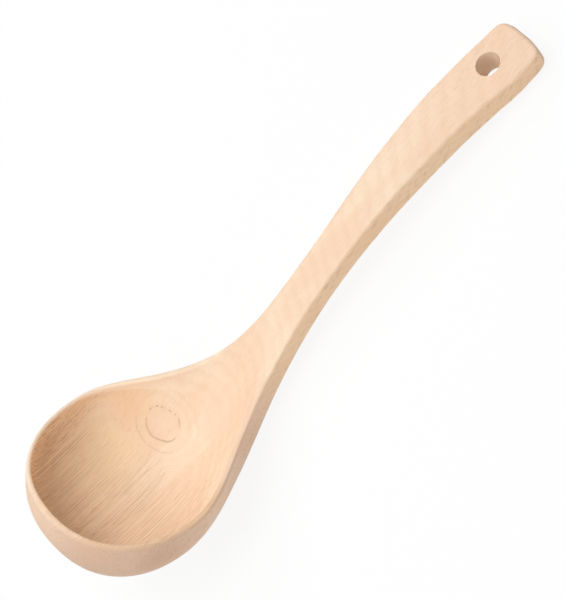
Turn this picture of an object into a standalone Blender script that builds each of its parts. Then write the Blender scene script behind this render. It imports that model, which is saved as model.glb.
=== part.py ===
"""A wooden ladle, carved from one piece of beech.

The ladle is drawn in the frame in which it is carved: X runs from the bowl to the handle, Z is
square to the rim, and the origin is where the bowl is widest. Half of the body is lofted along
the rim line, which carries on from the bowl's rim as the edge of the handle, and a Mirror makes
the other half. At the end the finished ladle is tipped over until it lies on its bowl and on the
end of its handle, as it does on a table. All lengths are in metres.
"""

from math import atan2, cos, pi, radians, sin, tan

import bmesh
import bpy
from mathutils import Matrix, Vector

# The bowl
BOWL_WIDTH = 0.080
NOSE_LENGTH = 0.0384          # from the widest section to the tip
BOWL_DEPTH = 0.0294           # from the rim to the underside
BOTTOM_WALL = 0.0042          # thickness of the bowl's floor
BOWL_LEAD = 0.0100            # the bowl is deepest this far ahead of its widest section
RIM_LAND = 0.0007             # the flat strip along the top of the rim
RIM_ROUND = 0.0010            # the rim's outer edge
LIP_ROUND = 0.0009            # the rim's inner edge

# The shoulder, where the bowl's outline turns from hollowing out to running in
SHOULDER_REACH = 0.0238       # from the widest section
SHOULDER_TAPER = 0.0182       # how much narrower than the bowl
SHOULDER_SLOPE = radians(-34.6)

# The neck
RISE_START = -0.010           # where the rim line begins to climb
NECK_REACH = 0.092            # from the widest section to the narrowest one
NECK_WIDTH = 0.0154
NECK_THICKNESS = 0.0104
NECK_RISE = 0.0427            # height of the top face above the rim
NECK_SLOPE = radians(38)
RUNOUT = 0.014                # the hollow has run out this far before the narrowest section

# The handle
HANDLE_REACH = 0.1915         # from the bowl's widest section to the end of the handle
HANDLE_WIDTH = 0.0232         # where the end starts to round off
HANDLE_TAPER = radians(-2)    # the outline there, which has begun to narrow
HANDLE_THICKNESS = 0.0122
HANDLE_SWELL = 0.042          # the handle gets its full thickness over this stretch from the neck
END_THICKNESS = 0.0112        # the handle thins again along its flat stretch
HANDLE_SLOPE = radians(26)
HANDLE_FLAT = 0.035           # the last stretch of the top face is flat
HANDLE_ROUND = 0.0014         # the edge of the top face
END_ROUND = 0.0030            # the same edge round the end, where it is softer
END_LENGTH = 0.013            # the stretch over which the outline rounds off

# The hanging hole
HOLE_DIAMETER = 0.0100
HOLE_SETBACK = 0.0156         # from the end of the handle to the middle of the hole
HOLE_LEAN = radians(5)         # the drill stands this much steeper than square to the face
HOLE_ROUND = 0.0006

# Fullness of the sections: 2 is an ellipse, and more is squarer
FRONT_FULLNESS = 2.3
SIDE_FULLNESS = 2.8
NECK_FULLNESS = 4.5
HANDLE_FULLNESS = 6.5
HOLLOW_FULLNESS = 2.3
RUNOUT_FULLNESS = 0.75        # under 1 the side of the hollow leaves the top face without an edge

# How far each curve holds on to its end directions, as shares of the distance between its ends
NOSE_PULLS = (0.462, 0.389)
SHOULDER_PULLS = (0.225, 0.56)
WAIST_PULLS = (0.453, 0.452)
GRIP_PULLS = (0.28, 0.25)
END_PULLS = (0.74, 0.70)
NECK_LINE_PULLS = (0.553, 0.388)
HANDLE_LINE_PULLS = (0.24, 0.48)
UNDERSIDE_PULLS = (0.43, 0.355)
FLOOR_PULLS = (0.30, 0.42)

# How finely the body is divided
NOSE_STEPS = 20
SHOULDER_STEPS = 12
WAIST_STEPS = 14
GRIP_STEPS = 16
END_STEPS = 14
HOLLOW_STEPS = 14
ROUND_STEPS = 3
SIDE_STEPS = 14
HOLE_SIDES = 32

MERGE_DISTANCE = 0.000001

BEECH_COLOUR = (0.79, 0.56, 0.37, 1.0)
BEECH_ROUGHNESS = 0.55


def clear_scene():
    for thing in list(bpy.data.objects):
        bpy.data.objects.remove(thing, do_unlink=True)


def new_collection(name):
    collection = bpy.data.collections.new(name)
    bpy.context.scene.collection.children.link(collection)
    return collection


def beech():
    material = bpy.data.materials.new("beech")
    material.use_nodes = True
    shader = material.node_tree.nodes["Principled BSDF"]
    shader.inputs["Base Color"].default_value = BEECH_COLOUR
    shader.inputs["Roughness"].default_value = BEECH_ROUGHNESS
    shader.inputs["Metallic"].default_value = 0.0
    return material


def mix(first, second, share):
    return first + (second - first) * share


def ease(share):
    """Goes from 0 to 1 with no jerk at either end."""
    share = min(max(share, 0.0), 1.0)
    return share * share * (3 - 2 * share)


def heading(slope):
    return Vector((cos(slope), sin(slope)))


class Curve:
    """A cubic curve between two points, which leaves and arrives along given slopes."""

    def __init__(self, start, start_slope, end, end_slope, pulls):
        self.start, self.end = Vector(start), Vector(end)
        span = (self.end - self.start).length
        self.first = self.start + heading(start_slope) * span * pulls[0]
        self.last = self.end - heading(end_slope) * span * pulls[1]

    def at(self, share):
        rest = 1 - share
        outer = self.start * rest**3 + self.end * share**3
        return outer + (self.first * rest + self.last * share) * 3 * rest * share

    def along(self, share):
        """The direction of travel."""
        rest = 1 - share
        leave = (self.first - self.start) * rest**2
        arrive = (self.end - self.last) * share**2
        return leave + (self.last - self.first) * 2 * rest * share + arrive

    def share_at(self, x):
        low, high = 0.0, 1.0
        for _ in range(40):
            middle = (low + high) / 2
            if self.at(middle).x < x:
                low = middle
            else:
                high = middle
        return (low + high) / 2

    def height(self, x):
        return self.at(self.share_at(x)).y

    def slope(self, x):
        direction = self.along(self.share_at(x))
        return atan2(direction.y, direction.x)


# The outline from above, in five curves from the tip of the bowl round to the end of the handle
TIP = (-NOSE_LENGTH, 0)
WIDEST = (0, BOWL_WIDTH / 2)
SHOULDER = (SHOULDER_REACH, (BOWL_WIDTH - SHOULDER_TAPER) / 2)
NECK = (NECK_REACH, NECK_WIDTH / 2)
GRIP_END = (HANDLE_REACH - END_LENGTH, HANDLE_WIDTH / 2)
END = (HANDLE_REACH, 0)
NOSE_OUTLINE = Curve(TIP, pi / 2, WIDEST, 0, NOSE_PULLS)
SHOULDER_OUTLINE = Curve(WIDEST, 0, SHOULDER, SHOULDER_SLOPE, SHOULDER_PULLS)
WAIST_OUTLINE = Curve(SHOULDER, SHOULDER_SLOPE, NECK, 0, WAIST_PULLS)
GRIP_OUTLINE = Curve(NECK, 0, GRIP_END, HANDLE_TAPER, GRIP_PULLS)
END_OUTLINE = Curve(GRIP_END, HANDLE_TAPER, END, -pi / 2, END_PULLS)

# The rim line from the side: level, then up the neck, then along the handle, where it ends flat
NECK_TOP = (NECK_REACH, NECK_RISE)
NECK_LINE = Curve((RISE_START, 0), 0, NECK_TOP, NECK_SLOPE, NECK_LINE_PULLS)
FLAT_START = HANDLE_REACH - HANDLE_FLAT
HALF_BEND = (FLAT_START - NECK_REACH) / 2
FLAT_RISE = NECK_RISE + HALF_BEND * (tan(NECK_SLOPE) + tan(HANDLE_SLOPE))
HANDLE_LINE = Curve(
    NECK_TOP, NECK_SLOPE, (FLAT_START, FLAT_RISE), HANDLE_SLOPE, HANDLE_LINE_PULLS
)


def rim_height(x):
    if x <= RISE_START:
        return 0.0
    if x < NECK_REACH:
        return NECK_LINE.height(x)
    if x < FLAT_START:
        return HANDLE_LINE.height(x)
    return FLAT_RISE + (x - FLAT_START) * tan(HANDLE_SLOPE)


def spine_top(x):
    """The point of the rim line's plane that lies over the middle of the ladle."""
    return Vector((x, rim_height(x)))


def underside_of_handle(x):
    """The point of the underside that lies square below the top face at x."""
    swollen = mix(NECK_THICKNESS, HANDLE_THICKNESS, ease((x - NECK_REACH) / HANDLE_SWELL))
    thickness = mix(swollen, END_THICKNESS, ease((x - FLAT_START) / HANDLE_FLAT))
    slope = HANDLE_LINE.slope(x) if x < FLAT_START else HANDLE_SLOPE
    return spine_top(x) + heading(slope - pi / 2) * thickness


# The underside and the floor of the hollow, from the deepest point of the bowl to where each ends
BOWL_BOTTOM = (-BOWL_LEAD, -BOWL_DEPTH)
UNDERSIDE = Curve(BOWL_BOTTOM, 0, underside_of_handle(NECK_REACH), NECK_SLOPE, UNDERSIDE_PULLS)
FLOOR_BOTTOM = (-BOWL_LEAD, BOTTOM_WALL - BOWL_DEPTH)
HOLLOW_END = NECK_REACH - RUNOUT
FLOOR = Curve(FLOOR_BOTTOM, 0, spine_top(HOLLOW_END), NECK_LINE.slope(HOLLOW_END), FLOOR_PULLS)


def below(curve, x, reach):
    """The point of a lower curve for the section at x: the curve's ends belong to 0 and to reach."""
    lead = mix(curve.start.x, 0, ease(2 * x / reach))
    lean = mix(0, curve.end.x - reach, ease(x / reach))
    place = x + lead + lean
    return Vector((place, curve.height(place)))


class Section:
    """One section of half the body, from the middle of its top to the middle of its underside."""

    def __init__(self, middle, rim, travel, floor, bottom):
        """middle, floor and bottom lie in the middle plane, and rim and travel are seen from above."""
        self.middle = middle
        self.rim = rim
        self.fall = bottom - middle
        self.hollow_fall = floor - middle
        spoke = Vector((rim.x - middle.x, rim.y))
        self.reach = abs(spoke.cross(travel)) / travel.length   # from the middle, square to the outline

    def point(self, share, depth):
        """share is 0 in the middle and 1 at the rim, and depth 0 at the top and 1 at the underside."""
        x = mix(self.middle.x, self.rim.x, share) + self.fall.x * depth
        top = mix(self.middle.y, rim_height(self.rim.x), share)
        return Vector((x, self.rim.y * share, top + self.fall.y * depth))

    def ring(self, runout, fullness, edge_round):
        """The points round the section. runout is 0 in the bowl and 1 where the top is flat."""
        lip, edge = LIP_ROUND / self.reach, edge_round / self.reach
        inner = 1 - (edge_round + RIM_LAND + LIP_ROUND) / self.reach
        thickness = self.fall.length
        lip_depth = LIP_ROUND * (1 - runout) / thickness
        edge_depth = edge_round / thickness
        hollow_power = mix(2 / HOLLOW_FULLNESS, 2 / RUNOUT_FULLNESS, runout)
        points = []
        for step in range(HOLLOW_STEPS):
            angle = step / HOLLOW_STEPS * pi / 2
            dip = self.hollow_fall * cos(angle) ** hollow_power * (1 - lip_depth)
            points.append(self.point(sin(angle) * inner, lip_depth) + Vector((dip.x, 0, dip.y)))
        for step in range(ROUND_STEPS + 1):
            angle = step / ROUND_STEPS * pi / 2
            points.append(self.point(inner + lip * (1 - cos(angle)), lip_depth * (1 - sin(angle))))
        for step in range(ROUND_STEPS + 1):
            angle = step / ROUND_STEPS * pi / 2
            points.append(self.point(1 - edge * (1 - sin(angle)), edge_depth * (1 - cos(angle))))
        for step in range(1, SIDE_STEPS):
            angle = step / SIDE_STEPS * pi / 2
            side_depth = sin(angle) ** (2 / fullness)
            points.append(self.point(cos(angle) ** (2 / fullness), mix(edge_depth, 1, side_depth)))
        points.append(self.point(0, 1))
        return points


def nose_rings():
    """A fan of sections about the middle of the bowl, ahead of its widest one."""
    middle, floor, bottom = spine_top(0), FLOOR.start, UNDERSIDE.start
    rings = []
    for step in range(NOSE_STEPS):
        rim, travel = NOSE_OUTLINE.at(step / NOSE_STEPS), NOSE_OUTLINE.along(step / NOSE_STEPS)
        ahead = 1 - (rim.y / WIDEST[1]) ** 2
        section = Section(middle, rim, travel, floor, bottom)
        rings.append(section.ring(0, mix(SIDE_FULLNESS, FRONT_FULLNESS, ahead), RIM_ROUND))
    return rings


def bowl_rings(outline, steps):
    """Sections side by side, in the part of the ladle that is hollow."""
    rings = []
    for step in range(steps):
        rim, travel = outline.at(step / steps), outline.along(step / steps)
        middle = spine_top(rim.x)
        floor = below(FLOOR, rim.x, HOLLOW_END) if rim.x < HOLLOW_END else middle
        section = Section(middle, rim, travel, floor, below(UNDERSIDE, rim.x, NECK_REACH))
        fullness = mix(SIDE_FULLNESS, NECK_FULLNESS, ease(rim.x / NECK_REACH))
        rings.append(section.ring(ease(rim.x / HOLLOW_END), fullness, RIM_ROUND))
    return rings


def handle_rings():
    """Sections side by side along the handle, and a fan of them round its end."""
    rings = []
    for step in range(GRIP_STEPS):
        rim, travel = GRIP_OUTLINE.at(step / GRIP_STEPS), GRIP_OUTLINE.along(step / GRIP_STEPS)
        share = (rim.x - NECK_REACH) / (GRIP_END[0] - NECK_REACH)
        section = Section(spine_top(rim.x), rim, travel, spine_top(rim.x), underside_of_handle(rim.x))
        fullness = mix(NECK_FULLNESS, HANDLE_FULLNESS, share)
        rings.append(section.ring(1, fullness, mix(RIM_ROUND, HANDLE_ROUND, share)))
    middle, bottom = spine_top(GRIP_END[0]), underside_of_handle(GRIP_END[0])
    for step in range(END_STEPS + 1):
        share = step / END_STEPS
        section = Section(middle, END_OUTLINE.at(share), END_OUTLINE.along(share), middle, bottom)
        edge_round = mix(HANDLE_ROUND, END_ROUND, ease(2 * share))
        rings.append(section.ring(1, HANDLE_FULLNESS, edge_round))
    return rings


def lofted_half(name, rings):
    """Faces between each ring and the next. The rings share their middle points in the two fans."""
    mesh = bpy.data.meshes.new(name)
    body = bmesh.new()
    rows = [[body.verts.new(point) for point in ring] for ring in rings]
    for ahead, behind in zip(rows, rows[1:]):
        for i in range(len(ahead) - 1):
            body.faces.new((ahead[i], ahead[i + 1], behind[i + 1], behind[i]))
    bmesh.ops.remove_doubles(body, verts=body.verts, dist=MERGE_DISTANCE)
    bmesh.ops.dissolve_degenerate(body, edges=body.edges, dist=MERGE_DISTANCE)
    bmesh.ops.recalc_face_normals(body, faces=body.faces)
    body.to_mesh(mesh)
    body.free()
    return mesh


def add_mirror(thing):
    mirror = thing.modifiers.new("other half", "MIRROR")
    mirror.use_axis = (False, True, False)
    mirror.use_clip = True
    mirror.merge_threshold = MERGE_DISTANCE


def hole_cutter(collection):
    """The drill that makes the hanging hole, longer than the handle is thick."""
    x = HANDLE_REACH - HOLE_SETBACK
    length = HANDLE_THICKNESS * 4
    drill_mesh = bpy.data.meshes.new("drill")
    drill = bmesh.new()
    radius = HOLE_DIAMETER / 2
    bmesh.ops.create_cone(
        drill, cap_ends=True, segments=HOLE_SIDES, radius1=radius, radius2=radius, depth=length
    )
    drill.to_mesh(drill_mesh)
    drill.free()
    cutter = bpy.data.objects.new("drill", drill_mesh)
    cutter.location = (x, 0, rim_height(x))
    cutter.rotation_euler = (0, HOLE_LEAN - HANDLE_SLOPE, 0)
    cutter.hide_render = True
    cutter.display_type = "WIRE"
    collection.objects.link(cutter)
    return cutter


def add_hole(thing, cutter):
    drilled = thing.modifiers.new("hanging hole", "BOOLEAN")
    drilled.operation = "DIFFERENCE"
    drilled.object = cutter
    softened = thing.modifiers.new("softened hole", "BEVEL")
    softened.width = HOLE_ROUND
    softened.segments = 2
    softened.limit_method = "ANGLE"
    softened.angle_limit = radians(50)


def resting_tilt(points):
    """The turn about Y that lays the bowl and the end of the handle on one level."""
    bowl = [point for point in points if point.x < NECK_REACH / 2]
    grip = [point for point in points if point.x > NECK_REACH]
    low, high = 0.0, pi / 2
    for _ in range(50):
        middle = (low + high) / 2
        turn = Matrix.Rotation(middle, 3, "Y")
        if min((turn @ point).z for point in grip) > min((turn @ point).z for point in bowl):
            low = middle
        else:
            high = middle
    return (low + high) / 2


def lay_down(ladle, cutter, points):
    """Tips the ladle over to rest, with the middle of its footprint at the origin."""
    turn = Matrix.Rotation(resting_tilt(points), 4, "Y")
    turned = [turn @ point for point in points]
    xs, zs = [point.x for point in turned], [point.z for point in turned]
    shift = Vector((-(min(xs) + max(xs)) / 2, 0, -min(zs)))
    stand = bpy.data.objects.new("ladle_at_rest", None)
    ladle.users_collection[0].objects.link(stand)
    stand.rotation_euler = turn.to_euler()
    stand.location = shift
    for thing in (ladle, cutter):
        thing.parent = stand


def main():
    clear_scene()
    parts, cutters = new_collection("wooden_ladle"), new_collection("cutters")
    rings = nose_rings() + bowl_rings(SHOULDER_OUTLINE, SHOULDER_STEPS)
    rings += bowl_rings(WAIST_OUTLINE, WAIST_STEPS) + handle_rings()
    mesh = lofted_half("ladle", rings)
    mesh.materials.append(beech())
    ladle = bpy.data.objects.new("ladle", mesh)
    parts.objects.link(ladle)
    add_mirror(ladle)
    cutter = hole_cutter(cutters)
    add_hole(ladle, cutter)
    mesh.shade_smooth()
    lay_down(ladle, cutter, [point for ring in rings for point in ring])


main()
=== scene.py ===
# %% [markdown]
# # A wooden ladle
#
# The real ladle is carved from one piece of beech: a deep bowl, a neck, and a handle that rises
# from it and has a hanging hole near its end. It has no separate parts and no coat of lacquer,
# so all of its character lies in one flowing surface and in the figure of the wood.
#
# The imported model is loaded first. It is the measured shape, and it stays where it is.

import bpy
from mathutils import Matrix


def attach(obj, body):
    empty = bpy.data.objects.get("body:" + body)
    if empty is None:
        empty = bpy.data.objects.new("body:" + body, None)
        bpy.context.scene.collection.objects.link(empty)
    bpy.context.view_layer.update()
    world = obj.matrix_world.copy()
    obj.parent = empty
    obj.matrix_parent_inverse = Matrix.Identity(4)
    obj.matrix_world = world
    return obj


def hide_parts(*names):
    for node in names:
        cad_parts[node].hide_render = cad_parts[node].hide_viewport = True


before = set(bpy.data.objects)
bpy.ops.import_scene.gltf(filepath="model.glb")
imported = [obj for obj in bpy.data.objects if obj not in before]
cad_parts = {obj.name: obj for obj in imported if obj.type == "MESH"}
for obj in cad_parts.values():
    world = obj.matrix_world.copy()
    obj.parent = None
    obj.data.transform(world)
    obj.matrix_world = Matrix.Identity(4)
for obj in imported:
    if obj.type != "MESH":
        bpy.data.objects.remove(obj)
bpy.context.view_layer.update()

# %% [markdown]
# ## The camera
#
# The photograph was taken with a long lens from above the ladle's right-hand side, and the ladle
# lies slantwise across it. A camera could be placed by eye, but here its place, the point that
# it looks at and its roll were fitted to the outline of the ladle, so they are written as
# measured. Blender's lens is given in millimetres on a sensor 36 mm long.

# %% Place the camera
from math import atan2, cos, degrees, pi, radians

import bmesh
import bpy
from mathutils import Matrix, Vector

CAMERA_PLACE = Vector((0.15452, -0.57893, 0.81951))
CAMERA_AIM = Vector((-0.00444, 0.00161, 0.02094))
CAMERA_ROLL = radians(-64.213)
CAMERA_LENS = 160.16
NEAREST_SEEN = 0.01


def turn_towards(place, aim, roll=0.0):
    """The turn that makes a camera or lamp at place look at aim."""
    look = (aim - place).to_track_quat("-Z", "Y").to_matrix()
    return (look @ Matrix.Rotation(roll, 3, "Z")).to_euler()


bpy.ops.object.camera_add(
    location=CAMERA_PLACE, rotation=turn_towards(CAMERA_PLACE, CAMERA_AIM, CAMERA_ROLL)
)
camera = bpy.context.object
camera.data.lens = CAMERA_LENS
camera.data.clip_start = NEAREST_SEEN
bpy.context.scene.camera = camera
print("camera", round((CAMERA_AIM - CAMERA_PLACE).length, 3), "m from the ladle")

# %% [markdown]
# ## The surface
#
# On the real ladle the maker's rasp and sandpaper leave one smooth skin, softly rounded at every
# edge. It could be modelled again from a primitive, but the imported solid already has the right
# sections, so a copy of its mesh is taken as the blank. The copy's loose triangles are merged and
# paired into quads, and a Subdivision Surface later rounds the small facets away.

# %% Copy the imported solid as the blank
MERGE_DISTANCE = 0.000002
PAIR_ANGLE = radians(60)

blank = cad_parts["ladle"]
ladle = bpy.data.objects.new("carved_ladle", blank.data.copy())
bpy.context.scene.collection.objects.link(ladle)
bpy.ops.object.select_all(action="DESELECT")
ladle.select_set(True)
bpy.context.view_layer.objects.active = ladle
bpy.ops.object.mode_set(mode="EDIT")
bpy.ops.mesh.select_all(action="SELECT")
bpy.ops.mesh.remove_doubles(threshold=MERGE_DISTANCE)
bpy.ops.mesh.tris_convert_to_quads(face_threshold=PAIR_ANGLE, shape_threshold=PAIR_ANGLE)
bpy.ops.mesh.customdata_custom_splitnormals_clear()
bpy.ops.object.mode_set(mode="OBJECT")
quads = sum(len(face.vertices) == 4 for face in ladle.data.polygons)
print("blank:", len(ladle.data.polygons), "faces, of which", quads, "are quads")

# %% [markdown]
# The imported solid's top edge is rounded off widely round the end of the handle, and in the
# photograph it is as tight there as along the sides. A new bevel can't be put on an edge that is
# round already. Each section of the end lies in its own upright plane, so the points of each
# section are found, and its rounding is shrunk towards the sharp corner that it cuts off. The
# flat face is stretched after it, and the hole stays.

# %% Find the sections of the handle's end
FACE_MIDDLE = Vector((0.114558, 0, 0.012814))
FACE_LEAN = radians(8.353)
HANDLE_SLOPE = radians(26)
MILLIMETRE = 0.001
WIDEST_BEARING = 88
DEEPEST_POINT = 4 * MILLIMETRE
LEAST_REACH = 11 * MILLIMETRE

face_bed = Matrix.Translation(FACE_MIDDLE) @ Matrix.Rotation(FACE_LEAN, 4, "Y")
face_bed = face_bed @ Matrix.Scale(1 / cos(HANDLE_SLOPE), 4, (1, 0, 0))
to_face = face_bed.inverted()
sections = {}
for vertex in ladle.data.vertices:
    on_face = to_face @ vertex.co
    bearing = round(degrees(atan2(on_face.y, on_face.x)))
    if abs(bearing) < WIDEST_BEARING and -on_face.z < DEEPEST_POINT:
        sections.setdefault(bearing, []).append((vertex, on_face))
sections = {bearing: points for bearing, points in sections.items()
            if max(place.xy.length for _, place in points) > LEAST_REACH}
print("the end has", len(sections), "sections")

# %% Tighten the rounding round the end
TIGHT_ROUND = 1.5 * MILLIMETRE
HOLE_GUARD = 6.2 * MILLIMETRE
SAME_HEIGHT = 0.03 * MILLIMETRE

for points in sections.values():
    reach = max(place.xy.length for _, place in points)
    on_top = [reach - place.xy.length for _, place in points if -place.z < SAME_HEIGHT]
    wide_round = min(on_top, default=0)
    flat = reach - HOLE_GUARD
    if not TIGHT_ROUND < wide_round < flat:
        continue
    for vertex, place in points:
        depth, inset = -place.z, reach - place.xy.length
        if depth < SAME_HEIGHT and inset < flat:
            stretch = (flat - TIGHT_ROUND) / (flat - wide_round)
            new_inset = TIGHT_ROUND + (inset - wide_round) * stretch
        elif SAME_HEIGHT <= depth < wide_round and inset < wide_round:
            new_inset = inset * TIGHT_ROUND / wide_round
            depth *= TIGHT_ROUND / wide_round
        else:
            continue
        x, y = place.xy * (reach - new_inset) / place.xy.length
        vertex.co = face_bed @ Vector((x, y, -depth))
print("the end's edge is rounded by", TIGHT_ROUND * 1000, "mm")

# %% [markdown]
# Subdividing rounds everything a little, also the borders where a flat face runs into a rounded
# edge, and the ladle would look as soft as soap. A maker's scraper leaves these borders crisp, so
# they are creased first. They are found by the small turn of the surface there: the faces of a
# rounded edge turn by 30 degrees, and the first and last of them by half of that.

# %% Crease the borders of the rounded edges
BORDER_TURN = (radians(10.5), radians(22))
CREASE = 0.75

bpy.ops.object.mode_set(mode="EDIT")
bpy.ops.mesh.select_mode(type="EDGE")
bpy.ops.mesh.select_all(action="DESELECT")
shell = bmesh.from_edit_mesh(ladle.data)
borders = [edge for edge in shell.edges if edge.is_manifold
           and BORDER_TURN[0] < edge.calc_face_angle() < BORDER_TURN[1]]
for edge in borders:
    edge.select_set(True)
bmesh.update_edit_mesh(ladle.data)
bpy.ops.transform.edge_crease(value=CREASE)
bpy.ops.object.mode_set(mode="OBJECT")
print("creased", len(borders), "edges")

# %% Smooth the blank
SMOOTH_LEVELS = 2

smooth = ladle.modifiers.new("smooth skin", "SUBSURF")
smooth.levels = smooth.render_levels = SMOOTH_LEVELS
bpy.ops.object.modifier_apply(modifier=smooth.name)
bpy.ops.object.shade_smooth()
print("skin:", len(ladle.data.polygons), "faces")

# %% [markdown]
# ## The hand in the work
#
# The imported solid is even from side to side, and a real ladle that is shaped by eye is not. In
# the photograph the handle swings a little to one side in the middle and to the other at its
# end, while the hole was drilled straight. The end itself is fuller on its right-hand side and
# leans there, is tucked in on the left, and is cut a little slantwise. A Lattice or proportional
# editing would do it, but a few lines that move each point by an amount that depends on its
# place along the handle keep the flat face flat and leave the hole alone.


# %% Make a gentle step
def ease(share):
    """Goes from 0 to 1 with no jerk at either end."""
    share = min(max(share, 0.0), 1.0)
    return share * share * (3 - 2 * share)


print("a quarter of the way along, the step has risen by", ease(0.25))

# %% Make the handle a little uneven
SWAY_START, SWAY_LENGTH, SWAY = 0.017, 0.043, 0.00075
RETURN_START, RETURN_LENGTH, RETURN = 0.081, 0.033, 0.00145
FLARE_START, FLARE_LENGTH, FLARE = 0.098, 0.016, 0.0010
LEAN_START, LEAN_LENGTH, LEAN, LEAN_DEPTH = 0.106, 0.012, 0.0008, 0.009
TUCK_START, TUCK_LENGTH, TUCK = 0.107, 0.013, 0.0005
CUT_START, CUT_LENGTH, CUT_BACK = 0.111, 0.012, 0.0002
LEFT_CUT, RIGHT_CUT = 0.0005, 0.0004
SIDE_START, SIDE_BLEND = 0.001, 0.009
HOLE_PLACE = Vector((0.1117, 0.0))
HOLE_CLEAR, HOLE_BLEND = 0.0058, 0.0035

for vertex in ladle.data.vertices:
    place = vertex.co
    left_half = ease((place.y - SIDE_START) / SIDE_BLEND)
    right_half = ease((-place.y - SIDE_START) / SIDE_BLEND)
    upper = ease(1 + (to_face @ place).z / LEAN_DEPTH)
    aside = SWAY * ease((place.x - SWAY_START) / SWAY_LENGTH)
    aside -= RETURN * ease((place.x - RETURN_START) / RETURN_LENGTH)
    aside -= FLARE * ease((place.x - FLARE_START) / FLARE_LENGTH) * right_half
    aside -= LEAN * ease((place.x - LEAN_START) / LEAN_LENGTH) * right_half * upper
    aside -= TUCK * ease((place.x - TUCK_START) / TUCK_LENGTH) * left_half
    back = CUT_BACK + LEFT_CUT * left_half + RIGHT_CUT * right_half
    back *= ease((place.x - CUT_START) / CUT_LENGTH)
    off_hole = ease(((place.xy - HOLE_PLACE).length - HOLE_CLEAR) / HOLE_BLEND)
    place.y += aside * off_hole
    place.x -= back * off_hole
print("the handle sways by", SWAY * 1000, "mm and comes back by", RETURN * 1000, "mm")

# %% [markdown]
# The rim of the real bowl is narrower on its far side than in front, because the hollow was
# scraped by hand. Scaling the hollow would move its floor as well, so only the upper part of
# the far inner wall is pushed outwards. Its points have to know how far they are from the rim's
# outer edge, so that side of the rim is measured first, in a frame that lies flat on it.

# %% Measure the far side of the rim
RIM_PLACE = Vector((-0.0860513, 0, 0.0356309))
RIM_TILT = radians(34.353)
RIM_ZONE = 3 * MILLIMETRE
BEARING_STEP = 2
LAST_BEARING = 140

rim_bed = Matrix.Translation(RIM_PLACE) @ Matrix.Rotation(RIM_TILT, 4, "Y")
to_rim = rim_bed.inverted()
reaches, tops = {}, {}
for vertex in ladle.data.vertices:
    place = to_rim @ vertex.co
    step = degrees(atan2(place.y, -place.x)) // BEARING_STEP
    if 0 <= step * BEARING_STEP < LAST_BEARING + BEARING_STEP and place.z > -RIM_ZONE:
        reaches[step] = max(reaches.get(step, 0), place.xy.length)
        tops[step] = max(tops.get(step, -1), place.z)


def between(table, bearing):
    """Reads a table of bearings between its steps."""
    low = (bearing / BEARING_STEP - 0.5) // 1
    part = bearing / BEARING_STEP - 0.5 - low
    first = table.get(low, table.get(low + 1))
    return first + (table.get(low + 1, first) - first) * part


print("the rim is measured at", len(reaches), "bearings")

# %% Thin the far side of the rim
THINNER, FRONT_BLEND, BACK_BLEND = 0.0008, 40, 50
RIM_EDGE, RIM_BLEND = 0.0008, 0.0014
THIN_DEPTH, THIN_FADE = 0.002, 0.016
FLOOR_RADIUS = 20 * MILLIMETRE
INNER_SIDE = 0.2

moved = 0
normals = [to_rim.to_3x3() @ vertex.normal for vertex in ladle.data.vertices]
for vertex, normal in zip(ladle.data.vertices, normals):
    place = to_rim @ vertex.co
    bearing = degrees(atan2(place.y, -place.x))
    if not 0 < bearing < LAST_BEARING or place.xy.length < FLOOR_RADIUS:
        continue
    outwards = place.xy.normalized()
    inset = between(reaches, bearing) - place.xy.length
    depth = between(tops, bearing) - place.z
    shift = THINNER * ease(bearing / FRONT_BLEND) * ease((LAST_BEARING - bearing) / BACK_BLEND)
    shift *= ease((inset - RIM_EDGE) / RIM_BLEND) * ease(1 - (depth - THIN_DEPTH) / THIN_FADE)
    if normal.xy @ outwards < INNER_SIDE and shift > 0:
        place.xy += outwards * shift
        vertex.co = rim_bed @ place
        moved += 1
print("the rim is", THINNER * 1000, "mm thinner at its far side;", moved, "points moved")

# %% [markdown]
# ## The light
#
# In the photograph the top faces are bright, the right-hand sides of the handle and bowl are a
# little darker, and the far wall of the bowl is in soft shade, so the light comes mostly from
# above and behind. Sunlight would draw hard shadows, so large soft boxes are hung round the
# ladle, as in a studio. Their powers were weighed one against another until each surface had its
# brightness in the photograph.

# %% Hang the soft boxes
SOFTBOX_SIZE = 0.7
LAMP_AIM = Vector((0, 0, 0.02))
SOFTBOXES = (
    ("softbox_overhead", Vector((0, 0, 1.2)), 6.8),
    ("softbox_low_front", Vector((-0.1, -1.2, 0.12)), 3.95),
    ("softbox_behind", Vector((0, 0.8, 1.0)), 4.5),
    ("softbox_left", Vector((-0.8, 0, 1.0)), 3.8),
)

for name, place, power in SOFTBOXES:
    bpy.ops.object.light_add(
        type="AREA", location=place, rotation=turn_towards(place, LAMP_AIM)
    )
    lamp = bpy.context.object
    lamp.name = name
    lamp.data.size = SOFTBOX_SIZE
    lamp.data.energy = power
    print(name, "gives", power, "watts")

# %% [markdown]
# ## The white background
#
# The photograph has a plain white background with no shadow in it. White paper under studio
# light isn't quite white, and more light on it would bleach the ladle. So the paper and the room
# show more white to the camera than they give to the ladle: a Light Path node tells the camera's
# rays, and mirror-like or clear ones, from the rays that carry light. The ladle's faint shadow
# stays on the paper.


# %% Tell which rays look at the background
def add_node(tree, kind, inputs=None, **options):
    """Adds a shader node, sets its options, and fills its inputs with values or links."""
    node = tree.nodes.new("ShaderNode" + kind)
    for name, value in options.items():
        setattr(node, name, value)
    for name, value in (inputs or {}).items():
        if isinstance(value, bpy.types.NodeSocket):
            tree.links.new(value, node.inputs[name])
        else:
            node.inputs[name].default_value = value
    return node


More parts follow.
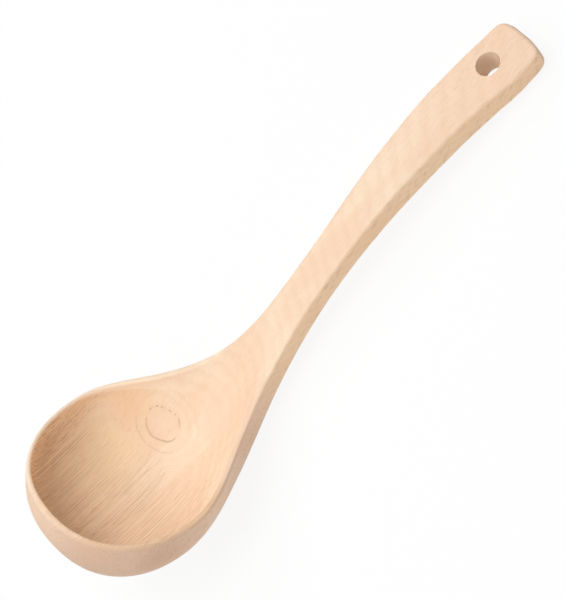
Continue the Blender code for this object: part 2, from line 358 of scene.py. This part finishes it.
def looking_rays(tree):
    """Is 1 for a ray that looks at the background, and 0 for one that carries light."""
    rays = add_node(tree, "LightPath").outputs
    mirrored = add_node(tree, "Math", {0: rays["Is Glossy Ray"], 1: rays["Is Transmission Ray"]},
                        operation="MAXIMUM").outputs[0]
    return add_node(tree, "Math", {0: rays["Is Camera Ray"], 1: mirrored},
                    operation="MAXIMUM").outputs[0]


# %% Light the room
ROOM_LIGHT = 0.2
WHITE = (1, 1, 1, 1)

room = bpy.data.worlds.new("white_room")
bpy.context.scene.world = room
room.use_nodes = True
room_tree = room.node_tree
dim = room_tree.nodes["Background"]
dim.inputs["Color"].default_value = WHITE
dim.inputs["Strength"].default_value = ROOM_LIGHT
bright = add_node(room_tree, "Background", {"Color": WHITE, "Strength": 1})
seen_room = add_node(room_tree, "MixShader", {
    0: looking_rays(room_tree), 1: dim.outputs[0], 2: bright.outputs[0]})
room_tree.links.new(seen_room.outputs[0], room_tree.nodes["World Output"].inputs["Surface"])
bpy.context.scene.view_settings.view_transform = "Standard"
print("the room gives", ROOM_LIGHT, "and looks white")

# %% Lay the paper
PAPER_SIZE = 6.0
PAPER_GREY = 0.92
PAPER_WHITENESS = 0.9
PAPER_ROUGHNESS, PAPER_GLOSS = 0.9, 0.1

bpy.ops.object.select_all(action="DESELECT")
bpy.ops.mesh.primitive_plane_add(size=PAPER_SIZE, location=(0, 0, 0))
floor = bpy.context.object
floor.name = "paper_floor"
paper = bpy.data.materials.new("white_paper")
paper.use_nodes = True
paper_tree = paper.node_tree
lit_paper = paper_tree.nodes["Principled BSDF"]
lit_paper.inputs["Base Color"].default_value = (PAPER_GREY, PAPER_GREY, PAPER_GREY, 1)
lit_paper.inputs["Roughness"].default_value = PAPER_ROUGHNESS
lit_paper.inputs["Specular IOR Level"].default_value = PAPER_GLOSS
glow = add_node(paper_tree, "Emission", {"Color": WHITE, "Strength": 1})
whiteness = add_node(paper_tree, "Math", {0: looking_rays(paper_tree), 1: PAPER_WHITENESS},
                     operation="MULTIPLY").outputs[0]
seen_paper = add_node(paper_tree, "MixShader", {
    0: whiteness, 1: lit_paper.outputs[0], 2: glow.outputs[0]})
paper_tree.links.new(seen_paper.outputs[0], paper_tree.nodes["Material Output"].inputs["Surface"])
floor.data.materials.append(paper)
print("paper:", PAPER_SIZE, "metres wide")

# %% [markdown]
# ## The beech
#
# Beech is known by its short dark flecks and fine dark pores, which all run along the fibres,
# and by faint growth layers that show as ovals where the cutter just grazes one. Painted
# pictures of wood slide over a carved bowl, so the figure is worked out in the solid instead:
# every point of the ladle is given its place in the plank, along the fibres, across them and
# through the growth layers, and each kind of mark is a noise that is stretched in that space.
# The bowl and the handle then cut through the figure as a real cutter does. From here on, sizes
# of marks are in millimetres, and places on the ladle stay in metres.

# %% Set the plank's directions
OVAL_PLACE = Vector((-0.0738, 0.0161, 0.0137))
ALONG_FIBRES = Vector((0.897, 0.148, -0.417))
THROUGH_LAYERS = Vector((0.443, -0.260, 0.860))

fibres = ALONG_FIBRES.normalized()
across = THROUGH_LAYERS.cross(fibres).normalized()
layers = fibres.cross(across)
plank_turn = Matrix((fibres, across, layers)).transposed().to_euler()

beech = bpy.data.materials.new("beech")
beech.use_nodes = True
wood = beech.node_tree
ladle_place = add_node(wood, "TexCoord").outputs
plank = add_node(wood, "Mapping", {
    "Vector": ladle_place["Object"], "Location": OVAL_PLACE, "Rotation": plank_turn,
    "Scale": (MILLIMETRE,) * 3}, vector_type="TEXTURE").outputs[0]
along, sideways, _ = add_node(wood, "SeparateXYZ", {0: plank}).outputs
print("the fibres rise", round(-fibres.z, 3), "towards the bowl")

# %% [markdown]
# Shader nodes could be placed and joined by hand, but the figure needs well over a hundred of
# them. A few small tools, each a short name for one or two nodes, let the recipe be read like a
# sum. A mask is a number that is 1 where a mark shows and 0 where it doesn't.


# %% Make the tools that work on masks
def calculate(operation, first, second=0.0, third=0.0):
    """One sum on two or three numbers or sockets."""
    return add_node(wood, "Math", {0: first, 1: second, 2: third}, operation=operation).outputs[0]


def product(first, *others):
    """Multiplies masks and numbers together."""
    for other in others:
        first = calculate("MULTIPLY", first, other)
    return first


def weaker(mark, mask, share):
    """Takes a share of a mark away where the mask is 1."""
    return product(mark, calculate("MULTIPLY_ADD", mask, -share, 1.0))


def fade(value, start, end, low=0.0, high=1.0):
    """Goes gently from low to high while value goes from start to end."""
    return add_node(wood, "MapRange", {
        "Value": value, "From Min": start, "From Max": end, "To Min": low, "To Max": high},
        interpolation_type="SMOOTHSTEP").outputs[0]


# %% Make the tools that place marks and colours
SEED_SHIFT = (17.3, 5.1, 9.7)
NEAR_CORE = 0.2


def cloud(place, size, seed, detail=2.0):
    """A noise whose lumps are about size long, broad and deep."""
    stretched = add_node(wood, "Mapping", {
        "Vector": place, "Location": [seed * shift for shift in SEED_SHIFT],
        "Scale": [1 / length for length in size]}).outputs[0]
    return add_node(wood, "TexNoise", {
        "Vector": stretched, "Scale": 1.0, "Detail": detail}).outputs[0]


def turned(direction):
    """Is 1 where the surface faces the direction, and -1 where it faces away."""
    return add_node(wood, "VectorMath", {0: ladle_place["Normal"], 1: direction},
                    operation="DOT_PRODUCT").outputs["Value"]


def near(centre, reach):
    """Is 1 at a point of the ladle and fades to 0 at the reach from it."""
    away = add_node(wood, "VectorMath", {0: ladle_place["Object"], 1: centre},
                    operation="DISTANCE").outputs["Value"]
    return fade(away, reach, NEAR_CORE * reach)


def tint(colour, other, amount):
    """Mixes some of another colour into a colour."""
    return add_node(wood, "Mix", {0: amount, 6: colour, 7: other}, data_type="RGBA").outputs[2]


# %% [markdown]
# No tree grows quite straight, and marks along perfectly straight fibres would look printed. So
# each point of the plank is first moved a little by a slow noise, and most marks are drawn in
# that wavy plank.

# %% Wave the fibres
WAVE_LENGTH, WAVE_HEIGHT = 34.0, 1.1
NOISE_MIDDLE = 0.5

wave = add_node(wood, "TexNoise", {
    "Vector": plank, "Scale": 1 / WAVE_LENGTH, "Detail": 1.0}).outputs["Color"]
centred = add_node(wood, "VectorMath", {0: wave, 1: (NOISE_MIDDLE,) * 3},
                   operation="SUBTRACT").outputs[0]
waved = add_node(wood, "VectorMath", {0: centred, 1: (WAVE_HEIGHT,) * 3, 2: plank},
                 operation="MULTIPLY_ADD").outputs[0]
through = add_node(wood, "SeparateXYZ", {0: waved}).outputs[2]
print("fibres wave by about", WAVE_HEIGHT / 2, "mm")

# %% [markdown]
# The hollow's floor grazes one growth layer, which shows there as an oval ring with a second one
# round it. The layers could be bent into a dome everywhere, but away from the ring they are as
# good as flat, so the dome fades into flat layers. On the real floor the rings are broken lines,
# and the outer one shows only on the side towards the bowl's nose.

# %% Count the growth layers
OVAL_HEART = (0.3, -1.0)
OVAL_REACH = (5.4, 7.3)
OVALS_END = (9.0, 4.0)
LAYER_THICKNESS = 3.2
LAYERS_PER_OVAL = 0.57
HEART_LAYER, DARK_LAYER = 0.5, 0.75
WOBBLE_SIZE, WOBBLE = (9, 5, 9), 0.5

from_heart = add_node(wood, "Mapping", {
    "Vector": plank, "Location": (-OVAL_HEART[0] / OVAL_REACH[0], -OVAL_HEART[1] / OVAL_REACH[1], 0),
    "Scale": (1 / OVAL_REACH[0], 1 / OVAL_REACH[1], 0)}).outputs[0]
dome = add_node(wood, "VectorMath", {0: from_heart, 1: from_heart},
                operation="DOT_PRODUCT").outputs["Value"]
flat_layer = calculate("DIVIDE", through, LAYER_THICKNESS)
oval_layer = calculate("MULTIPLY_ADD", calculate("SUBTRACT", dome, 1.0),
                       LAYERS_PER_OVAL, HEART_LAYER)
even_count = add_node(wood, "Mix", {
    0: fade(dome, *OVALS_END), 2: flat_layer, 3: oval_layer}).outputs[0]
layer_count = calculate("ADD", even_count, product(cloud(plank, WOBBLE_SIZE, seed=4), WOBBLE))
layer = calculate("ABSOLUTE", calculate("SUBTRACT", calculate("FRACT", layer_count), DARK_LAYER))
print("the first oval is", 2 * OVAL_REACH[0], "by", 2 * OVAL_REACH[1], "mm")

# %% Draw the growth layers
SHADE_WIDTH = 0.45
LINE_EDGE, LINE_CORE = 0.075, 0.015
GAP_SIZE, GAPS = (2.6, 2.2, 6), (0.50, 0.60)
WHOLE_SIDE, WHOLENESS = (1.0, -3.0), 0.22
OUTER_RING, OUTER_RING_SHOWS = (1.5, 2.0), (-3, -7)
RINGS_END = (5.0, 0.6)

layer_shade = fade(layer, SHADE_WIDTH, 0.0)
wholeness = calculate("ADD", cloud(plank, GAP_SIZE, seed=3),
                      fade(along, *WHOLE_SIDE, high=WHOLENESS))
hidden = product(fade(dome, *OUTER_RING), fade(along, *OUTER_RING_SHOWS, low=1.0, high=0.0))
oval_lines = product(fade(layer, LINE_EDGE, LINE_CORE), weaker(fade(wholeness, *GAPS), hidden, 1.0),
                     fade(dome, *RINGS_END))
print("the outer ring shows from", OUTER_RING_SHOWS[0], "mm along the fibres")

# %% [markdown]
# The hollow was scraped and shows its figure clearly, while the outside of the bowl was sanded
# smoother and shows little of it. So the shader has to tell the two apart. It could be given two
# materials, but their border would show on the rim. A point is on the outside if its surface
# faces away from the middle of the bowl, and that fades softly over the rim.

# %% Tell the outside of the bowl
BOWL_HEART = (-0.086, 0, 0.036)
OUTER_SKIN = (0.006, 0.020)
BOWL_STARTS = (-0.02, -0.06)

wall_x, wall_y, _ = add_node(wood, "SeparateXYZ", {0: ladle_place["Object"]}).outputs
from_bowl = add_node(wood, "VectorMath", {0: ladle_place["Object"], 1: BOWL_HEART},
                     operation="SUBTRACT").outputs[0]
outside = product(fade(turned(from_bowl), *OUTER_SKIN), fade(wall_x, *BOWL_STARTS))
inside = calculate("SUBTRACT", 1.0, outside)
print("the bowl's heart is at", BOWL_HEART)

# %% [markdown]
# Towards the bowl's nose the cutter crossed the layers steeply, and the hollow is full of fine
# dark stripes there, about a millimetre apart. A Wave texture would lay them as evenly as a comb.
# So a comb that drifts and comes and goes is mixed with a loose noise, and both are broken into
# beads. The layers behind them lean a little, or the stripes would bend round under the rim.

# %% Draw the stripes of the hollow
STRIPE_SPACING, STRIPE_LEAN = 0.96, 0.28
ROW_SIZE, ROW_DRIFT = (60, 3.2, 60), 9.0
COMB_SIZE, COMB_SHOWS, COMB_LEAST = (18, 2.2, 18), (0.35, 0.60), 0.45
LOOSE_SIZE, LOOSE_EDGE = (70, 0.42, 70), (0.38, 0.62)
BEAD_SIZE, BEAD_EDGE, BEAD_LEAST = (5, 0.6, 5), (0.38, 0.60), 0.6
COMB_SHARE = 0.6

cut = turned(across)
steepness = calculate("ABSOLUTE", cut)
leaning = add_node(wood, "VectorMath", {0: through, 1: (0, STRIPE_LEAN, 0), 2: waved},
                   operation="MULTIPLY_ADD").outputs["Vector"]
rows = calculate("MULTIPLY_ADD", add_node(wood, "SeparateXYZ", {0: leaning}).outputs[1],
                 2 * pi / STRIPE_SPACING, product(cloud(leaning, ROW_SIZE, seed=8), ROW_DRIFT))
comb = calculate("MULTIPLY_ADD", calculate("SINE", rows), 0.5, 0.5)
comb = product(comb, fade(cloud(leaning, COMB_SIZE, seed=6), *COMB_SHOWS, low=COMB_LEAST))
loose = fade(cloud(leaning, LOOSE_SIZE, seed=1, detail=1), *LOOSE_EDGE)
beads = fade(cloud(plank, BEAD_SIZE, seed=9), *BEAD_EDGE, low=BEAD_LEAST)
stripes = product(add_node(wood, "Mix", {0: COMB_SHARE, 2: loose, 3: comb}).outputs[0], beads)
print("stripes are", STRIPE_SPACING, "mm apart")

# %% Keep the stripes near the bowl's nose
NOSE_SIDE = (-8, -32)
STRIPES_ELSEWHERE = 0.1
STEEPEST, STEEP_STRIPES = (0.88, 0.97), 0.3
GOLDEN_PLACE, GOLDEN_REACH = (-0.095, 0.024, 0.019), 0.020
OUTSIDE_LOSS, GOLDEN_LOSS = 0.8, 0.3

stripes = product(stripes, fade(along, *NOSE_SIDE, low=STRIPES_ELSEWHERE),
                  fade(steepness, *STEEPEST, low=1.0, high=STEEP_STRIPES))
stripes = weaker(stripes, outside, OUTSIDE_LOSS)
stripes = weaker(stripes, near(GOLDEN_PLACE, GOLDEN_REACH), GOLDEN_LOSS)
print("stripes start", -NOSE_SIDE[0], "mm from the ring's heart")

# %% [markdown]
# Three more marks run along the fibres: a few long dark lines low in the hollow, the pores, and
# the flecks, which show most where the surface cuts steeply through the layers. A noise with a
# high limit gives short strokes, which suits the pores and the flecks. A long line is drawn
# where a slow noise passes its middle value, which gives one thin line that runs on.

# %% Draw the long lines
LINE_SIZE, LINE_WIDTH = (90, 1.9, 7), (0.040, 0.006)
LINE_START, LINE_SIDE = (-4, -20), (2, -12)
LINE_GAP_SIZE, LINE_GAPS = (60, 3, 30), (0.28, 0.52)

off_middle = calculate("SUBTRACT", cloud(waved, LINE_SIZE, seed=11, detail=0), NOISE_MIDDLE)
long_lines = product(
    fade(calculate("ABSOLUTE", off_middle), *LINE_WIDTH), fade(along, *LINE_START),
    fade(sideways, *LINE_SIDE), fade(cloud(plank, LINE_GAP_SIZE, seed=12), *LINE_GAPS), inside)
print("long lines run for about", LINE_SIZE[0], "mm")

# %% Draw the pores and the flecks
PORE_SIZE, PORE_EDGE = (7, 0.32, 1.2), (0.54, 0.76)
FLECK_SIZE, FLECK_EDGE = (2.6, 0.42, 7), (0.58, 0.74)
FLECKED_CUT, FLECKS_ELSEWHERE, FLECK_LOSS = (0.45, 0.92), 0.3, 0.6

pores = fade(cloud(waved, PORE_SIZE, seed=2, detail=1), *PORE_EDGE)
flecks = product(fade(cloud(waved, FLECK_SIZE, seed=5, detail=0), *FLECK_EDGE),
                 fade(steepness, *FLECKED_CUT, low=FLECKS_ELSEWHERE))
flecks = weaker(flecks, outside, FLECK_LOSS)
print("pores are", PORE_SIZE[0], "mm long, flecks", FLECK_SIZE[2], "mm deep")

# %% [markdown]
# The ground colour of beech is a pinkish cream that changes slowly over the plank. One flat
# colour would look like plastic. So it drifts from cream to pink, blushes towards the handle's
# end, turns to honey where one side of the ladle cuts steeply through the layers, and has a few
# warm places in the hollow, where the real one is darker or more golden. Just under the rim, the
# inner wall is also darkened with painted shade.

# %% Mix the ground colour
CREAM = (0.950, 0.745, 0.552, 1)
PINK = (0.915, 0.660, 0.475, 1)
BLUSH = (0.975, 0.700, 0.515, 1)
HONEY = (0.960, 0.645, 0.375, 1)
TAN = (0.715, 0.430, 0.230, 1)
GOLD = (1.000, 0.745, 0.505, 1)
PATCH_SIZE, PATCHES = (70, 12, 16), (0.33, 0.63)
BLUSH_START, BLUSHED = (105, 165), 0.7
HONEY_CUT, HONEYED = (-0.40, -0.90), 0.58
LAYER_TINT = 0.10
GOLD_SIDE, GOLD_LOW, GOLD_HIGH = (-16, 2), 0.25, 0.75

colour = tint(CREAM, PINK, fade(cloud(waved, PATCH_SIZE, seed=7), *PATCHES))
colour = tint(colour, BLUSH, fade(along, *BLUSH_START, high=BLUSHED))
colour = tint(colour, HONEY, product(fade(cut, *HONEY_CUT, high=HONEYED), inside))
colour = tint(colour, TAN, product(layer_shade, LAYER_TINT))
colour = tint(colour, GOLD, product(
    fade(along, *NOSE_SIDE), fade(sideways, *GOLD_SIDE, low=GOLD_LOW, high=GOLD_HIGH)))
print("ground colours are laid over", PATCH_SIZE, "mm")

# %% Warm some places in the hollow, and paint shade under the rim
GOLDEN = (1.000, 0.755, 0.470, 1)
RUDDY = (0.890, 0.615, 0.455, 1)
UMBER = (0.600, 0.345, 0.185, 1)
WARM_PLACES = (
    (GOLDEN, GOLDEN_PLACE, GOLDEN_REACH, 0.75),
    (HONEY, (-0.074, 0.029, 0.021), 0.014, 0.55),
    (RUDDY, (-0.056, -0.003, 0.011), 0.014, 0.55),
)
SHADE_UNDER_RIM, SHADE_UNDER_RIM_REACH, SHADE_UNDER_RIM_TINT = (-0.104, 0.034, 0.046), 0.014, 0.22

for warmth, centre, reach, amount in WARM_PLACES:
    colour = tint(colour, warmth, product(near(centre, reach), amount))
# painted shade: umber darkens the inner wall just under the rim, near the nose on the far side
colour = tint(colour, UMBER, product(near(SHADE_UNDER_RIM, SHADE_UNDER_RIM_REACH), inside, SHADE_UNDER_RIM_TINT))
print(len(WARM_PLACES) + 1, "places are warmer")

# %% Lay on the marks
BROWN = (0.560, 0.330, 0.190, 1)
STRIPE_CUT, STRIPE_LOW, STRIPE_HIGH = (0.0, -0.8), 0.58, 0.92
PORE_SIDE, PORE_LOW, PORE_HIGH = (110, 175), 0.28, 0.48
FLECK_SIDE, FLECK_LOW, FLECK_HIGH = (0, -15), 0.22, 0.36
LONG_LINE_TINT, OVAL_TINT = 0.42, 0.62

marks = (
    (stripes, UMBER, fade(cut, *STRIPE_CUT, low=STRIPE_LOW, high=STRIPE_HIGH)),
    (long_lines, BROWN, LONG_LINE_TINT),
    (pores, TAN, fade(along, *PORE_SIDE, low=PORE_LOW, high=PORE_HIGH)),
    (flecks, BROWN, fade(along, *FLECK_SIDE, low=FLECK_LOW, high=FLECK_HIGH)),
    (oval_lines, BROWN, OVAL_TINT),
)
for mark, dye, strength in marks:
    colour = tint(colour, dye, product(mark, strength))
print(len(marks), "kinds of marks are laid on")

# %% [markdown]
# Where a surface cuts the fibres off, it is end grain, which drinks in the light and looks
# darker. Painting it on by hand would have to be done again for each change of shape. The
# shader finds it by how far the surface turns towards the fibres. On the end of the handle a
# stronger brown is laid on. It is partly the end grain's own colour and partly painted shade
# along the end's rounding, standing in for an end face that turns away from the light.

# %% Darken the end grain, and paint shade round the handle's end
END_GRAIN, END_TINT = (0.60, 0.98), 0.30
HANDLE_END, END_FACE, END_GRAIN_AND_SHADE_TINT = (140, 165), (0.30, 0.80), 0.55

facing = turned(fibres)
colour = tint(colour, TAN, product(fade(calculate("ABSOLUTE", facing), *END_GRAIN), END_TINT))
# partly end grain, partly painted shade: brown on the rounding of the handle's end
colour = tint(colour, BROWN, product(
    fade(facing, *END_FACE), fade(along, *HANDLE_END), END_GRAIN_AND_SHADE_TINT))
print("end grain shows where a surface faces the fibres by more than", END_GRAIN[0])

# %% [markdown]
# The outside of the bowl is rosier than the hollow and has short fine pores. Painted shade
# makes it darker towards its right side and round one spot there. It has the same growth as the
# rest, so its tints are only added to the figure that is there.

# %% Tint the outside of the bowl, and paint shade on its right side
ROSE = (0.750, 0.550, 0.440, 1)
PAINTED_SHADE = (0.585, 0.305, 0.155, 1)
ROSE_START, ROSE_LOW, ROSE_HIGH = (-0.082, -0.104), 0.40, 0.60
ROSE_SIDE, ROSE_LEFT = (-0.018, 0.002), 0.7
SHADED_SIDE, SIDE_SHADE = (0.000, -0.022), 0.30
SHADE_SPOT, SHADE_SPOT_REACH, SPOT_SHADE = (-0.103, -0.038, 0.034), 0.014, 0.16
OUTER_PORES = 0.42

rosy = product(outside, fade(wall_x, *ROSE_START, low=ROSE_LOW, high=ROSE_HIGH),
               fade(wall_y, *ROSE_SIDE, low=1.0, high=ROSE_LEFT))
# painted shade: darker towards the bowl's right side, and more round one spot on it
outer_shade = calculate("ADD", fade(wall_y, *SHADED_SIDE, high=SIDE_SHADE),
                  product(near(SHADE_SPOT, SHADE_SPOT_REACH), SPOT_SHADE))
colour = tint(colour, ROSE, rosy)
colour = tint(colour, PAINTED_SHADE, product(outside, outer_shade))
colour = tint(colour, BROWN, product(pores, outside, OUTER_PORES))
print("the outside takes up to", ROSE_HIGH, "of rose")

# %% [markdown]
# The rim's top is given painted light: painted shade dulls its front, where the light from
# above would make it glint, and a painted highlight makes its far side paler. An edge-wear mask
# could find every edge, but only the rim is tinted, so the mask is taken from the height over the
# rim's plane.

# %% Paint shade and a highlight on the rim
RIM_FRONT, RIM_FAR = (-0.010, -0.028), (0.006, 0.020)
RIM_SHADE_HEIGHT, RIM_SHADE_START, RIM_SHADE_TINT = (-0.0011, -0.0002), (-0.060, -0.075), 0.38
RIM_HIGHLIGHT_HEIGHT, RIM_HIGHLIGHT_START, RIM_HIGHLIGHT_TINT = (-0.0016, -0.0004), (-0.050, -0.070), 0.6
PAINTED_LIGHT = (1.000, 0.805, 0.630, 1)

rim_up = rim_bed.to_3x3() @ Vector((0, 0, 1))
from_rim = add_node(wood, "VectorMath", {0: ladle_place["Object"], 1: RIM_PLACE},
                    operation="SUBTRACT").outputs[0]
rim_height = add_node(wood, "VectorMath", {0: from_rim, 1: rim_up},
                      operation="DOT_PRODUCT").outputs["Value"]
# painted shade dulls the front of the rim, and a painted highlight brightens its far side
shaded = product(fade(rim_height, *RIM_SHADE_HEIGHT), fade(wall_y, *RIM_FRONT), fade(wall_x, *RIM_SHADE_START))
rim_highlight = product(fade(rim_height, *RIM_HIGHLIGHT_HEIGHT), fade(wall_y, *RIM_FAR), fade(wall_x, *RIM_HIGHLIGHT_START))
colour = tint(colour, TAN, product(shaded, RIM_SHADE_TINT))
colour = tint(colour, PAINTED_LIGHT, product(rim_highlight, RIM_HIGHLIGHT_TINT))
print("the rim is worn over", -RIM_SHADE_HEIGHT[0] * 1000, "mm")

# %% [markdown]
# The wall of the hanging hole gets little light, so painted light makes it paler than the face
# round it. It could be a face with a material of its own, but here it is the skin that is close
# to the hole's axis and doesn't look up.

# %% Paint light on the wall of the hole
HOLE_SKIN = (0.0064, 0.0056)
UPRIGHT = (0.75, 0.35)

from_hole = add_node(wood, "Mapping", {
    "Vector": ladle_place["Object"], "Location": (-HOLE_PLACE.x, -HOLE_PLACE.y, 0),
    "Scale": (1, 1, 0)}).outputs[0]
off_axis = add_node(wood, "VectorMath", {0: from_hole}, operation="LENGTH").outputs["Value"]
level = add_node(wood, "SeparateXYZ", {0: ladle_place["Normal"]}).outputs[2]
# painted light: the wall of the hole is made paler
colour = tint(colour, PAINTED_LIGHT, product(fade(off_axis, *HOLE_SKIN), fade(level, *UPRIGHT)))
print("the hole's wall is fresh up to", HOLE_SKIN[0] * 1000, "mm from its axis")

# %% [markdown]
# Sanded beech without lacquer has a dull, silky surface, and its stripes and pores are tiny
# furrows. They are far too fine for the mesh, so a Bump node tilts the light on them, and the
# stripes are a little rougher than the wood between them.

# %% Finish the surface
SMOOTH_WOOD, ROUGH_WOOD = 0.52, 0.66
SILKINESS = 0.3
RELIEF = 0.00004
FURROW = -0.5

skin = wood.nodes["Principled BSDF"]
skin.inputs["Specular IOR Level"].default_value = SILKINESS
furrows = calculate("ADD", product(stripes, FURROW), product(pores, FURROW))
relief = add_node(wood, "Bump", {"Strength": 1.0, "Distance": RELIEF, "Height": furrows})
wood.links.new(colour, skin.inputs["Base Color"])
wood.links.new(fade(stripes, 0, 1, SMOOTH_WOOD, ROUGH_WOOD), skin.inputs["Roughness"])
wood.links.new(relief.outputs["Normal"], skin.inputs["Normal"])
ladle.data.materials.clear()
ladle.data.materials.append(beech)
print("beech:", len(wood.nodes), "shader nodes")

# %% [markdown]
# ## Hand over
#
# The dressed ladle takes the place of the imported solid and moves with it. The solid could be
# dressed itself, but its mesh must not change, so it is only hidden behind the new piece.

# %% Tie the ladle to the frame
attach(ladle, "root")
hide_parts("ladle")
